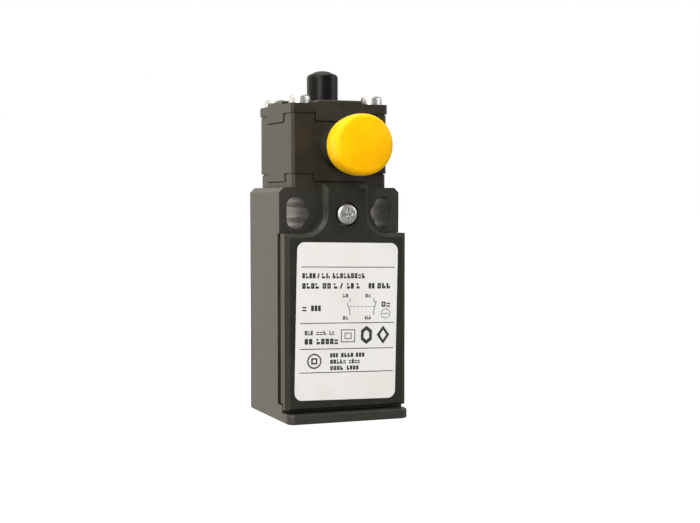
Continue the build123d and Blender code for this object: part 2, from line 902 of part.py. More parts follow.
nc_tip_top = nc_strip_bottom - tip_height - contact_gap
no_tip_bottom = no_strip_bottom + strip_thickness + tip_height + contact_gap + plunger_travel
fixed_contact_tips = contact_tips(
    [nc_strip_bottom - tip_height, no_strip_bottom + strip_thickness]
)
fixed_contact_tips.part.label = "fixed_contact_tips"
bridge_tips = contact_tips([nc_tip_top - tip_height, no_tip_bottom])
bridge_tips.part.label = "bridge_tips"

clamp_thickness = 0.9
clamp_width = 5.0
clamp_height = 4.6
with BuildPart() as terminal_clamps:
    with BuildSketch(across(tab_front)):
        with Locations(*terminal_places):
            Rectangle(clamp_width, clamp_height)
            Circle(terminal_screw_radius, mode=Mode.SUBTRACT)
    extrude(amount=clamp_thickness)
terminal_clamps.part.label = "terminal_clamps"

terminal_screws = pan_head_screws(
    [
        Plane(origin=(x, tab_front - clamp_thickness, z), x_dir=(1, 0, 0.3), z_dir=(0, -1, 0))
        for x, z in terminal_places
    ],
    head_radius=2.2,
    head_height=1.6,
    rim_round=0.5,
    shank_radius=terminal_screw_radius,
    shank_length=block_front - 0.3 - tab_front + clamp_thickness,
)
terminal_screws.part.label = "terminal_screws"

# ---- Contact carrier ----

nc_bridge_top = nc_tip_top - tip_height
no_bridge_bottom = no_tip_bottom + tip_height
window_half_depth = bridge_half_width + 0.2
nc_spring_length = 2.0
no_spring_length = 2.4
nc_window = (nc_bridge_top - bridge_thickness - nc_spring_length, nc_bridge_top + 0.3)
no_window = (no_bridge_bottom - 0.1, no_bridge_bottom + bridge_thickness + no_spring_length)
carrier_spring_bore = 2.2
carrier_spring_top = 25.0

with BuildPart() as contact_carrier:
    box_between(
        (-carrier_half_width, -carrier_half_depth, carrier_bottom),
        (carrier_half_width, carrier_half_depth, carrier_top),
    )
    with BuildSketch(level(carrier_top)):
        Circle(carrier_boss_radius)
    extrude(amount=carrier_boss_top - carrier_top)
    for bottom, top in (nc_window, no_window):
        box_between(
            (-carrier_half_width, -window_half_depth, bottom),
            (carrier_half_width, window_half_depth, top),
            mode=Mode.SUBTRACT,
        )
    with BuildSketch(level(carrier_bottom)):
        Circle(carrier_spring_bore)
    extrude(amount=carrier_spring_top - carrier_bottom, mode=Mode.SUBTRACT)
contact_carrier.part.label = "contact_carrier"


def bridge(bottom):
    with BuildPart() as bar:
        with BuildSketch(level(bottom)):
            RectangleRounded(2 * bridge_half_length, 2 * bridge_half_width, 0.6)
        extrude(amount=bridge_thickness)
    return bar


nc_bridge = bridge(nc_bridge_top - bridge_thickness)
nc_bridge.part.label = "nc_bridge"
no_bridge = bridge(no_bridge_bottom)
no_bridge.part.label = "no_bridge"

nc_bridge_spring = coil_spring(
    start=(0, 0, nc_window[0]),
    direction=(0, 0, 1),
    length=nc_spring_length,
    radius=0.9,
    wire_radius=0.18,
    turns=3,
)
nc_bridge_spring.part.label = "nc_bridge_spring"
no_bridge_spring = coil_spring(
    start=(0, 0, no_bridge_bottom + bridge_thickness),
    direction=(0, 0, 1),
    length=no_spring_length,
    radius=0.9,
    wire_radius=0.18,
    turns=3,
)
no_bridge_spring.part.label = "no_bridge_spring"

carrier_spring = coil_spring(
    start=(0, 0, guide_bottom),
    direction=(0, 0, 1),
    length=carrier_spring_top - guide_bottom,
    radius=1.6,
    wire_radius=0.25,
    turns=5,
)
carrier_spring.part.label = "carrier_spring"

pieces = [
    body_shell, cover_screw_insert, front_cover, cover_gasket, cover_screw_washer, cover_screw,
    rating_label, head_base_block, head_gasket, head_retaining_clip, head_middle_block, head_cap,
    head_screws, plunger_bush, plunger_lip_seal, plunger, plunger_push_pin,
    plunger_retaining_ring, plunger_spring, reset_collar, reset_seal, reset_button, reset_stem,
    reset_retaining_ring, latch_slide, reset_spring, contact_block_base, contact_block_cover,
    contact_block_screws, nc_contact_left, nc_contact_right, no_contact_left, no_contact_right,
    fixed_contact_tips, bridge_tips, terminal_clamps, terminal_screws, contact_carrier,
    nc_bridge, no_bridge, nc_bridge_spring, no_bridge_spring, carrier_spring,
]
for piece in pieces:
    export_step(piece.part, f"parts/{piece.part.label}.step")
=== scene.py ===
import json
import math
import random

import bmesh
import bpy
from mathutils import Matrix, Vector


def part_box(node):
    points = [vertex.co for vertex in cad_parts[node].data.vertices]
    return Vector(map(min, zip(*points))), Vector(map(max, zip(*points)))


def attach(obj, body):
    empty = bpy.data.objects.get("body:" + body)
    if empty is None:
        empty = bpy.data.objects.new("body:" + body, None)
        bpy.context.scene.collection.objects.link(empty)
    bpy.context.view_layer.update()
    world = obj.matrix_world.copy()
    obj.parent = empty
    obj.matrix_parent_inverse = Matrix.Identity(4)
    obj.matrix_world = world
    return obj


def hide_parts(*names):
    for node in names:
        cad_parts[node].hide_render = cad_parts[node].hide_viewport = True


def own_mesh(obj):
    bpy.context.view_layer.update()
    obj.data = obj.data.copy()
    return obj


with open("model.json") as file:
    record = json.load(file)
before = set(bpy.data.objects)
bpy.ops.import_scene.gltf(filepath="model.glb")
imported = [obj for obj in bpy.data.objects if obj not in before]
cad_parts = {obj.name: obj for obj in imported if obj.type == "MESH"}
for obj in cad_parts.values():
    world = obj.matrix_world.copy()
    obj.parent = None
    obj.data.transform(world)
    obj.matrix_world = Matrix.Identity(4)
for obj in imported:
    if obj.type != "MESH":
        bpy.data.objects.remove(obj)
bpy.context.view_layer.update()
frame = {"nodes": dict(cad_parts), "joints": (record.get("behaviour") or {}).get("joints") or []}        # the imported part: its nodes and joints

nodes = frame["nodes"]
mm = 0.001
print("frame loaded:", len(nodes), "nodes")


class Signal:
    # one output of a finish; sums and products on it add their Math nodes
    def __init__(self, finish, socket):
        self.finish = finish
        self.socket = socket

    def __add__(self, other):
        return self.finish.maths("ADD", self, other)

    def __sub__(self, other):
        return self.finish.maths("SUBTRACT", self, other)

    def __rsub__(self, other):
        return self.finish.maths("SUBTRACT", other, self)

    def __mul__(self, other):
        return self.finish.maths("MULTIPLY", self, other)

    __radd__ = __add__
    __rmul__ = __mul__


class Finish:
    # one material, or the world, and the nodes it is made of
    def __init__(self, owner, coordinates="Object"):
        self.owner = owner
        self.owner.use_nodes = True
        self.tree = self.owner.node_tree
        self.tree.nodes.clear()
        # a material's place is in metres, in the part's own frame
        self.place = self.node("ShaderNodeTexCoord", output=coordinates)

    def node(self, kind, settings=None, sockets=None, output=0):
        made = self.tree.nodes.new(kind)
        for name, value in (settings or {}).items():
            if name == "stops":
                self.setStops(made.color_ramp, value)
            else:
                setattr(made, name, value)
        for name, value in (sockets or {}).items():
            if isinstance(value, Signal):
                self.tree.links.new(value.socket, made.inputs[name])
            else:
                made.inputs[name].default_value = value
        return Signal(self, made.outputs[output]) if len(made.outputs) else None

    def setStops(self, ramp, stops):
        while len(ramp.elements) > 1:
            ramp.elements.remove(ramp.elements[-1])
        ramp.elements[0].position, ramp.elements[0].color = stops[0]
        for position, shade in stops[1:]:
            ramp.elements.new(position).color = shade

    def stretched(self, factors):
        return self.node("ShaderNodeVectorMath", {"operation": "MULTIPLY"}, {0: self.place, 1: factors})

    def noise(self, size, detail=2.0, rough=0.5, seed=0.0, at=None):
        # size is about the width of one lump, in metres
        return self.node("ShaderNodeTexNoise", {"noise_dimensions": "4D"},
                         {"Vector": at or self.place, "W": seed, "Scale": 1 / size,
                          "Detail": detail, "Roughness": rough})

    def cells(self, size):
        return self.node("ShaderNodeTexVoronoi", {"feature": "F1"}, {"Vector": self.place, "Scale": 1 / size})

    def between(self, value, low, high):
        # 0 below low and 1 above high, smooth in between
        return self.node("ShaderNodeMapRange", {"interpolation_type": "SMOOTHSTEP"},
                         {"Value": value, "From Min": low, "From Max": high})

    def tint(self, factor, first, second):
        return self.node("ShaderNodeMix", {"data_type": "RGBA", "blend_type": "MIX"},
                         {0: factor, 6: first, 7: second}, output=2)

    def bump(self, height, depth, normal=None):
        under = {"Normal": normal} if normal else {}
        return self.node("ShaderNodeBump", {},
                         {"Height": height, "Distance": depth, "Strength": 1.0, **under})

    def rounded(self, radius):
        return self.node("ShaderNodeBevel", {"samples": 6}, {"Radius": radius})

    def edges(self, rounded, low=0.02, high=0.25):
        # 1 where the rounded normal leaves the flat one, which is along the edges
        flat = self.node("ShaderNodeNewGeometry", output="Normal")
        return self.between(1 - self.along(rounded, flat), low, high)

    def along(self, first, second):
        return self.node("ShaderNodeVectorMath", {"operation": "DOT_PRODUCT"}, {0: first, 1: second},
                         output="Value")

    def part(self, vector, letter):
        return self.node("ShaderNodeSeparateXYZ", {}, {0: vector}, output=letter)

    def insideBores(self, bores):
        # 1 on the walls of the fixing slots, which run front to back through the ears
        flat = self.node("ShaderNodeNewGeometry", output="Normal")
        facing = self.maths("ABSOLUTE", self.part(flat, "Y"))
        out = self.maths("ABSOLUTE", self.part(self.place, "X"))
        up = self.part(self.place, "Z")
        edge = bores["edge"]
        return ((1 - self.between(facing, bores["wallFrom"], bores["wallTo"]))
                * (1 - self.between(out, bores["across"], bores["across"] + edge))
                * self.between(up, bores["bottom"] - edge, bores["bottom"])
                * (1 - self.between(up, bores["top"], bores["top"] + edge)))

    def maths(self, operation, first, second=0.0):
        return self.node("ShaderNodeMath", {"operation": operation}, {0: first, 1: second})

    def surface(self, sockets):
        shader = self.node("ShaderNodeBsdfPrincipled", {}, sockets)
        self.node("ShaderNodeOutputMaterial", {}, {"Surface": shader})
        return self.owner


def colour(red, green, blue):
    # screen values from 0 to 255 as a linear colour, by the standard screen curve
    linear = []
    for value in (red, green, blue):
        linear.append(value / 255 / 12.92 if value <= 10 else ((value / 255 + 0.055) / 1.055) ** 2.4)
    return (*linear, 1.0)


plasticMix = dict(
    # sizes of the marks, as shares of the grain or of the patches
    pitSize=1.7, dustSize=0.35, rubSize=0.5, rubStretch=(1.0, 1.0, 9.0),
    # where each mark starts and ends in its noise
    tone=(0.3, 0.7), dust=(0.5, 0.75), paleEdges=(0.35, 0.65), rubs=(0.66, 0.74),
    # what each mark does to the sheen, and how the two kinds of relief are shared out
    dustSheen=0.06, wornSheen=0.08, rubSheen=0.05, grainShare=0.6, pitShare=0.4, boreSmooth=0.85,
)


def mouldedPlastic(name, look, mix):
    # a moulded part: spark-eroded grain, slow ripples, patchy sheen, a few rubs, and lighter edges that are
    # partly wear and partly a painted highlight
    finish = Finish(bpy.data.materials.new(name))
    grain = finish.noise(look["grain"], detail=2.0, rough=0.6, seed=1.7)
    pits = finish.cells(look["grain"] * mix["pitSize"])
    ripple = finish.noise(look["ripple"], detail=2.0, rough=0.5, seed=4.1)
    patches = finish.noise(look["patch"], detail=4.0, rough=0.6, seed=7.3)
    dust = finish.noise(look["patch"] * mix["dustSize"], detail=5.0, rough=0.7, seed=2.2)
    dust = finish.between(dust, *mix["dust"])
    smooth = finish.rounded(look["edge"])
    paleEdges = finish.edges(smooth) * finish.between(patches, *mix["paleEdges"])
    if look.get("turned"):
        smooth = None        # its edges are already round
    rubs = finish.noise(look["patch"] * mix["rubSize"], detail=3.0, rough=0.7, seed=9.4,
                        at=finish.stretched(mix["rubStretch"]))
    rubs = finish.between(rubs, *mix["rubs"])
    shade = finish.tint(finish.between(patches, *mix["tone"]), look["dark"], look["light"])
    shade = finish.tint(dust * look["dust"], shade, look["dustColour"])
    shade = finish.tint(rubs * look["rubs"], shade, look["wearAndEdgeHighlightColour"])
    # painted highlight: the edges are tinted towards the pale colour in patches, partly wear and partly the
    # light that the chamfers catch
    shade = finish.tint(paleEdges * look["edgeWearAndHighlight"], shade, look["wearAndEdgeHighlightColour"])
    sheen = look["roughness"] + (patches - 0.5) * look["patchSheen"] + (grain - 0.5) * look["grainSheen"]
    sheen = sheen + dust * mix["dustSheen"] - paleEdges * mix["wornSheen"] - rubs * mix["rubSheen"]
    height = grain * mix["grainShare"] + pits * mix["pitShare"]
    if "bores" in look:
        bore = finish.insideBores(look["bores"])
        sheen = sheen - bore * (look["roughness"] - look["bores"]["sheen"])
        height = height * (1 - bore * mix["boreSmooth"])
    normal = finish.bump(ripple, look["rippleDepth"], smooth)
    normal = finish.bump(height, look["grainDepth"], normal)
    sockets = {"Base Color": shade, "Roughness": sheen, "Normal": normal, "IOR": look["ior"]}
    sockets.update(look.get("extra", {}))
    return finish.surface(sockets)


metalMix = dict(
    speckSize=2.0, tone=(0.35, 0.65), specks=(0.62, 0.72), wornBright=0.4,
    cloudSheen=0.2, lineSheen=0.15, speckSheen=0.15, wornSheen=0.06,
)


def platedMetal(name, look, mix):
    # turned or pressed metal with a plated coat: fine drag lines, tumbled dents and a cloudy tint
    finish = Finish(bpy.data.materials.new(name))
    lines = finish.noise(look["line"], detail=3.0, rough=0.6, seed=3.2, at=finish.stretched(look["drag"]))
    dents = finish.noise(look["dent"], detail=3.0, rough=0.55, seed=5.5)
    cloud = finish.noise(look["cloud"], detail=4.0, rough=0.6, seed=8.8)
    smooth = finish.rounded(look["edge"])
    paleEdges = finish.edges(smooth)
    specks = finish.noise(look["line"] * mix["speckSize"], detail=4.0, rough=0.7, seed=6.1)
    specks = finish.between(specks, *mix["specks"])
    shade = finish.tint(finish.between(cloud, *mix["tone"]), look["bright"], look["dull"])
    shade = finish.tint(specks * look["stain"], shade, look["stainColour"])
    shade = finish.tint(paleEdges * mix["wornBright"], shade, look["bright"])
    sheen = look["roughness"] + (cloud - 0.5) * mix["cloudSheen"] + (lines - 0.5) * mix["lineSheen"]
    sheen = sheen + specks * mix["speckSheen"] - paleEdges * mix["wornSheen"]
    normal = finish.bump(dents, look["dentDepth"], smooth)
    normal = finish.bump(lines, look["lineDepth"], normal)
    return finish.surface({"Base Color": shade, "Metallic": look["metallic"], "Roughness": sheen,
                           "Normal": normal})


def softRubber(name, look):
    # moulded rubber with a pale bloom
    finish = Finish(bpy.data.materials.new(name))
    skin = finish.noise(look["skin"], detail=4.0, rough=0.65, seed=2.9)
    bloom = finish.noise(look["bloom"], detail=4.0, rough=0.6, seed=5.9)
    bloom = finish.between(bloom, *look["bloomRange"])
    shade = finish.tint(bloom * look["bloomTint"], look["dark"], look["light"])
    normal = finish.bump(skin, look["skinDepth"], finish.rounded(look["edge"]))
    return finish.surface({"Base Color": shade, "Roughness": look["roughness"] + bloom * look["bloomSheen"],
                           "Normal": normal, "IOR": look["ior"]})


def labelFilm(name, look):
    # coated film: almost even white, faint fibres, a few rubs and a slight orange peel
    finish = Finish(bpy.data.materials.new(name))
    fibre = finish.noise(look["fibre"], detail=4.0, rough=0.7, seed=1.1,
                         at=finish.stretched(look["fibreStretch"]))
    cloud = finish.noise(look["cloud"], detail=3.0, rough=0.5, seed=3.3)
    peel = finish.noise(look["peel"], detail=2.0, rough=0.5, seed=6.6)
    rubs = finish.noise(look["cloud"] * look["rubSize"], detail=4.0, rough=0.7, seed=8.1,
                        at=finish.stretched(look["rubStretch"]))
    rubs = finish.between(rubs, *look["rubRange"])
    shade = finish.tint(finish.between(cloud, *look["tone"]), look["white"], look["cream"])
    shade = finish.tint(fibre * look["fibreTint"], shade, look["grey"])
    shade = finish.tint(rubs * look["rubTint"], shade, look["grey"])
    sheen = look["roughness"] + cloud * look["cloudSheen"] + rubs * look["rubSheen"]
    normal = finish.bump(cloud, look["waveDepth"], finish.rounded(look["edge"]))
    normal = finish.bump(peel, look["peelDepth"], normal)
    return finish.surface({"Base Color": shade, "Roughness": sheen, "Normal": normal, "IOR": look["ior"]})


def printInk(name, look):
    # screen-printed ink: black with pinholes where the film shows through
    finish = Finish(bpy.data.materials.new(name))
    cover = finish.noise(look["pinhole"], detail=3.0, rough=0.6, seed=4.4)
    holes = finish.between(cover, *look["holeRange"])
    shade = finish.tint(finish.between(cover, *look["tone"]), look["black"], look["thin"])
    shade = finish.tint(holes * look["holeTint"], shade, look["film"])
    return finish.surface({"Base Color": shade, "Roughness": look["roughness"] + cover * look["coverSheen"],
                           "Normal": finish.bump(cover, look["depth"]), "IOR": look["ior"]})


plasticLook = {
    "black_case": dict(
        dark=colour(32, 31, 24), light=colour(41, 40, 31), wearAndEdgeHighlightColour=colour(104, 100, 88),
        dustColour=colour(120, 116, 108), grain=0.16 * mm, ripple=7 * mm, patch=6 * mm, edge=0.16 * mm,
        roughness=0.47, patchSheen=0.08, grainSheen=0.1, rippleDepth=0.02 * mm, grainDepth=0.012 * mm,
        dust=0.03, rubs=0.08, edgeWearAndHighlight=0.16, ior=1.52, extra={"Specular IOR Level": 0.55},
        # the fixing slots: how far out and how high they lie, and the sheen their core pins leave
        bores=dict(across=13.4 * mm, bottom=44.3 * mm, top=52.4 * mm, edge=0.05 * mm,
                   wallFrom=0.5, wallTo=0.7, sheen=0.22)),
    "black_cover": dict(
        dark=colour(30, 31, 25), light=colour(39, 40, 32), wearAndEdgeHighlightColour=colour(100, 98, 88),
        dustColour=colour(120, 116, 108), grain=0.18 * mm, ripple=8 * mm, patch=7 * mm, edge=0.14 * mm,
        roughness=0.45, patchSheen=0.08, grainSheen=0.1, rippleDepth=0.02 * mm, grainDepth=0.014 * mm,
        dust=0.025, rubs=0.08, edgeWearAndHighlight=0.16, ior=1.52, extra={"Specular IOR Level": 0.25}),
    "black_head": dict(
        dark=colour(30, 27, 19), light=colour(45, 41, 31), wearAndEdgeHighlightColour=colour(104, 98, 86),
        dustColour=colour(120, 116, 108), grain=0.14 * mm, ripple=5 * mm, patch=5 * mm, edge=0.14 * mm,
        roughness=0.46, patchSheen=0.08, grainSheen=0.1, rippleDepth=0.015 * mm, grainDepth=0.011 * mm,
        dust=0.03, rubs=0.08, edgeWearAndHighlight=0.18, ior=1.52, extra={"Specular IOR Level": 0.33}),
    "plunger_plastic": dict(
        dark=colour(7, 7, 6), light=colour(13, 13, 11), wearAndEdgeHighlightColour=colour(80, 80, 76),
        dustColour=colour(120, 118, 112), grain=0.12 * mm, ripple=4 * mm, patch=3 * mm, edge=0.12 * mm,
        roughness=0.36, patchSheen=0.12, grainSheen=0.08, rippleDepth=0.01 * mm, grainDepth=0.006 * mm,
        dust=0.02, rubs=0.08, edgeWearAndHighlight=0.12, ior=1.52, extra={"Specular IOR Level": 0.16}),
    "bush_plastic": dict(
        dark=colour(26, 26, 26), light=colour(34, 34, 34), wearAndEdgeHighlightColour=colour(90, 90, 88),
        dustColour=colour(120, 118, 112), grain=0.12 * mm, ripple=4 * mm, patch=3 * mm, edge=0.12 * mm,
        roughness=0.4, patchSheen=0.1, grainSheen=0.08, rippleDepth=0.01 * mm, grainDepth=0.006 * mm,
        dust=0.05, rubs=0.1, edgeWearAndHighlight=0.2, ior=1.52),
    "yellow_button": dict(
        dark=(0.96, 0.46, 0.0, 1.0), light=(1.0, 0.53, 0.0, 1.0), wearAndEdgeHighlightColour=(1.0, 0.72, 0.03, 1.0),
        dustColour=colour(214, 180, 90), grain=0.14 * mm, ripple=5 * mm, patch=5 * mm, edge=0.2 * mm,
        roughness=0.36, patchSheen=0.1, grainSheen=0.06, rippleDepth=0.02 * mm, grainDepth=0.005 * mm,
        dust=0.03, rubs=0.12, edgeWearAndHighlight=0.3, ior=1.5, turned=True,
        extra={"Subsurface Weight": 0.35, "Subsurface Radius": (1.0, 0.6, 0.05), "Subsurface Scale": 2.4 * mm,
               "Specular IOR Level": 0.09}),
    "block_plastic": dict(
        dark=colour(120, 124, 126), light=colour(138, 141, 142), wearAndEdgeHighlightColour=colour(180, 180, 178),
        dustColour=colour(160, 152, 138), grain=0.14 * mm, ripple=4 * mm, patch=4 * mm, edge=0.12 * mm,
        roughness=0.48, patchSheen=0.1, grainSheen=0.1, rippleDepth=0.012 * mm, grainDepth=0.008 * mm,
        dust=0.05, rubs=0.1, edgeWearAndHighlight=0.25, ior=1.5),
    "carrier_plastic": dict(
        dark=colour(186, 62, 30), light=colour(204, 74, 36), wearAndEdgeHighlightColour=colour(230, 130, 96),
        dustColour=colour(190, 130, 100), grain=0.12 * mm, ripple=3 * mm, patch=3 * mm, edge=0.1 * mm,
        roughness=0.42, patchSheen=0.1, grainSheen=0.08, rippleDepth=0.01 * mm, grainDepth=0.006 * mm,
        dust=0.03, rubs=0.1, edgeWearAndHighlight=0.25, ior=1.5),
    "latch_plastic": dict(
        dark=colour(214, 208, 190), light=colour(226, 220, 204), wearAndEdgeHighlightColour=colour(240, 236, 226),
        dustColour=colour(190, 180, 160), grain=0.12 * mm, ripple=3 * mm, patch=3 * mm, edge=0.1 * mm,
        roughness=0.42, patchSheen=0.1, grainSheen=0.08, rippleDepth=0.01 * mm, grainDepth=0.006 * mm,
        dust=0.04, rubs=0.1, edgeWearAndHighlight=0.2, ior=1.5),
}

metalLook = {
    "zinc_screw": dict(
        bright=colour(214, 215, 213), dull=colour(176, 178, 179), stainColour=colour(140, 136, 122),
        line=0.12 * mm, drag=(1.0, 1.0, 1.0), dent=0.6 * mm, cloud=1.6 * mm, edge=0.08 * mm, stain=0.35,
        roughness=0.4, lineDepth=0.003 * mm, dentDepth=0.012 * mm, metallic=1.0),
    "spring_steel": dict(
        bright=colour(196, 196, 198), dull=colour(150, 150, 154), stainColour=colour(110, 96, 78),
        line=0.1 * mm, drag=(1.0, 1.0, 0.4), dent=0.5 * mm, cloud=1.5 * mm, edge=0.04 * mm, stain=0.3,
        roughness=0.32, lineDepth=0.002 * mm, dentDepth=0.004 * mm, metallic=1.0),
    "steel_pin": dict(
        bright=colour(210, 210, 212), dull=colour(172, 172, 176), stainColour=colour(120, 108, 92),
        line=0.12 * mm, drag=(1.0, 1.0, 0.2), dent=0.8 * mm, cloud=2 * mm, edge=0.08 * mm, stain=0.25,
        roughness=0.26, lineDepth=0.002 * mm, dentDepth=0.004 * mm, metallic=1.0),
    "brass_insert": dict(
        bright=colour(222, 186, 104), dull=colour(186, 148, 74), stainColour=colour(120, 84, 40),
        line=0.12 * mm, drag=(1.0, 0.3, 1.0), dent=0.6 * mm, cloud=1.5 * mm, edge=0.08 * mm, stain=0.3,
        roughness=0.32, lineDepth=0.003 * mm, dentDepth=0.006 * mm, metallic=1.0),
    "contact_brass": dict(
        bright=colour(216, 178, 100), dull=colour(184, 144, 76), stainColour=colour(126, 88, 48),
        line=0.1 * mm, drag=(0.25, 1.0, 1.0), dent=0.8 * mm, cloud=2 * mm, edge=0.06 * mm, stain=0.3,
        roughness=0.3, lineDepth=0.002 * mm, dentDepth=0.005 * mm, metallic=1.0),
    "silver_tip": dict(
        bright=colour(232, 231, 228), dull=colour(198, 196, 192), stainColour=colour(120, 112, 104),
        line=0.1 * mm, drag=(1.0, 1.0, 1.0), dent=0.4 * mm, cloud=1 * mm, edge=0.06 * mm, stain=0.4,
        roughness=0.28, lineDepth=0.002 * mm, dentDepth=0.005 * mm, metallic=1.0),
}

rubberLook = dict(
    dark=colour(22, 22, 23), light=colour(60, 59, 57), skin=0.2 * mm, skinDepth=0.008 * mm, edge=0.12 * mm,
    bloom=3 * mm, bloomRange=(0.4, 0.75), bloomTint=0.5, bloomSheen=0.2, roughness=0.62, ior=1.5)

filmLook = dict(
    white=colour(225, 225, 224), cream=colour(220, 219, 216), grey=colour(188, 190, 193),
    fibre=0.25 * mm, fibreStretch=(1.0, 1.0, 0.35), fibreTint=0.12, cloud=8 * mm, tone=(0.35, 0.7),
    rubSize=0.4, rubStretch=(0.3, 1.0, 4.0), rubRange=(0.68, 0.76), rubTint=0.18,
    peel=0.7 * mm, peelDepth=0.002 * mm, waveDepth=0.02 * mm, edge=0.05 * mm,
    roughness=0.36, cloudSheen=0.1, rubSheen=0.12, ior=1.46)

inkLook = dict(
    black=colour(30, 30, 34), thin=colour(46, 46, 50), film=colour(206, 206, 204), tone=(0.3, 0.6),
    pinhole=0.09 * mm, holeRange=(0.66, 0.74), holeTint=0.6, depth=0.002 * mm,
    roughness=0.38, coverSheen=0.15, ior=1.5)

finishes = {slot: mouldedPlastic(slot, look, plasticMix) for slot, look in plasticLook.items()}
finishes.update({slot: platedMetal(slot, look, metalMix) for slot, look in metalLook.items()})
finishes["gasket_rubber"] = softRubber("gasket_rubber", rubberLook)
finishes["white_label"] = labelFilm("white_label", filmLook)
ink = printInk("label_ink", inkLook)
for node in nodes.values():
    for held in node.material_slots:
        held.material = finishes[held.material.name.split(".")[0]]
print("finishes made:", len(finishes) + 1)


def meshPiece(name, shape, slot, body, materials=None):
    # a finished bmesh as an object that moves with its body
    mesh = bpy.data.meshes.new(name)
    bmesh.ops.recalc_face_normals(shape, faces=shape.faces)
    shape.to_mesh(mesh)
    shape.free()
    piece = bpy.data.objects.new(name, mesh)
    bpy.context.scene.collection.objects.link(piece)
    for material in materials or [finishes[slot]]:
        mesh.materials.append(material)
    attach(piece, body)
    return piece


def prism(shape, outline, back, front, material=0):
    # a closed slab between two heights on Y, from points given as (x, z)
    behind = [shape.verts.new((x, back, z)) for x, z in outline]
    ahead = [shape.verts.new((x, front, z)) for x, z in outline]
    faces = [shape.faces.new(ahead), shape.faces.new(behind[::-1])]
    for i in range(len(outline)):
        j = (i + 1) % len(outline)
        faces.append(shape.faces.new((behind[i], behind[j], ahead[j], ahead[i])))
    for face in faces:
        face.material_index = material


def hoop(shape, outer, inner, back, front, material=0):
    # a closed frame between an outer and an inner outline with the same number of points
    rows = [[shape.verts.new((x, y, z)) for x, z in outline]
            for outline, y in ((outer, back), (outer, front), (inner, front), (inner, back))]
    count = len(outer)
    for row, following in zip(rows, rows[1:] + rows[:1]):
        for i in range(count):
            j = (i + 1) % count
            face = shape.faces.new((row[i], row[j], following[j], following[i]))
            face.material_index = material


def circle(x, z, radius, count=40):
    return [(x + radius * math.cos(2 * math.pi * i / count), z + radius * math.sin(2 * math.pi * i / count))
            for i in range(count)]


def box(x0, z0, x1, z1):
    return [(x0, z0), (x1, z0), (x1, z1), (x0, z1)]


def stroke(x0, z0, x1, z1, width):
    # a straight line of print as a thin four-cornered slab
    run = Vector((x1 - x0, z1 - z0))
    side = Vector((-run.y, run.x)).normalized() * width / 2
    return [(x0 + side.x, z0 + side.y), (x1 + side.x, z1 + side.y),
            (x1 - side.x, z1 - side.y), (x0 - side.x, z0 - side.y)]


labelSizes = dict(
    width=25.0, height=36.4, corner=1.8, print=0.012, tilt=-1.2, seed=11,
    rules=(12.55, -0.4, -6.36, -11.8), ruleStart=-11.4, ruleEnd=11.8, ruleWidth=0.19,
    # lines of greeked words: height of the middle, letter height, share of a letter that is inked, word spans
    words=(
        (10.54, 1.20, 0.62, ((-11.17, -7.78), (-7.35, -7.05), (-6.42, -4.23), (-3.74, 4.44))),
        (8.21, 1.30, 0.72, ((-11.13, -6.88), (-6.17, -3.9), (-3.4, -2.32), (-1.75, -1.2), (-0.16, 1.75),
                            (2.25, 3.18), (5.26, 6.9), (7.5, 10.93))),
        (5.92, 0.8, 0.7, ((-1.13, 0.33), (4.51, 5.99))),
        (0.78, 0.8, 0.7, ((-1.02, 0.44), (4.48, 6.10))),
        (3.05, 1.3, 0.6, ((-11.02, -9.75), (-8.9, -6.33))),
        (3.9, 1.24, 0.55, ((8.65, 11.03),)),
        (-2.62, 1.02, 0.5, ((-10.33, -8.2), (-7.5, -4.9), (-4.3, -2.94))),
        (-4.62, 1.3, 0.8, ((-10.30, -8.2), (-7.4, -1.89))),
        (-7.86, 1.0, 0.8, ((-3.99, -1.9), (-1.3, 1.9), (2.4, 4.68))),
        (-9.35, 0.98, 0.8, ((-3.96, 0.1), (0.7, 3.54))),
        (-10.83, 0.96, 0.8, ((-3.93, -0.6), (0.2, 3.28))),
    ),
)


letterSizes = dict(
    pitch=0.78, width=0.78, line=0.2, lineBase=0.75, narrow=0.6,   # shares of a letter's height or pitch
    stem=1.2, foot=1.4, gap=2.0,                                   # times the thickness of a line
)


def greekedWord(shape, dice, start, end, middle, height, share, back, front):
    # a word as a row of small marks that stand for letters and spell nothing
    count = max(1, round((end - start) / (height * letterSizes["pitch"])))
    pitch = (end - start) / count
    low, high = middle - height / 2, middle + height / 2
    line = height * letterSizes["line"] * (letterSizes["lineBase"] + share)
    foot, gap, stem = line * letterSizes["foot"], line * letterSizes["gap"], line * letterSizes["stem"]
    for i in range(count):
        left = start + i * pitch
        right = left + pitch * letterSizes["width"]
        kind = dice.choice(("frame", "pair", "stack", "frame", "low"))
        if count == 1 and end - start < height * letterSizes["narrow"]:
            prism(shape, stroke(left, low, right, high, line), back, front, 1)
        elif kind == "frame":
            hoop(shape, box(left, low, right, high), box(left + line, low + line, right - line, high - line),
                 back, front, 1)
        elif kind == "pair":
            prism(shape, box(left, low, left + stem, high), back, front, 1)
            prism(shape, box(right - line, low, right, middle), back, front, 1)
        elif kind == "stack":
            prism(shape, box(left, low, right, low + line), back, front, 1)
            prism(shape, box(left, middle, right, middle + line), back, front, 1)
        else:
            prism(shape, box(left, low, right, low + foot), back, front, 1)
            prism(shape, box(left, low + gap, left + line, high), back, front, 1)


def roundedBox(width, height, corner, steps=8):
    outline = []
    for quarter, (sx, sz) in enumerate(((1, 1), (-1, 1), (-1, -1), (1, -1))):
        cx, cz = sx * (width / 2 - corner), sz * (height / 2 - corner)
        for i in range(steps + 1):
            angle = math.pi / 2 * (quarter + i / steps)
            outline.append((cx + corner * math.cos(angle), cz + corner * math.sin(angle)))
    return outline


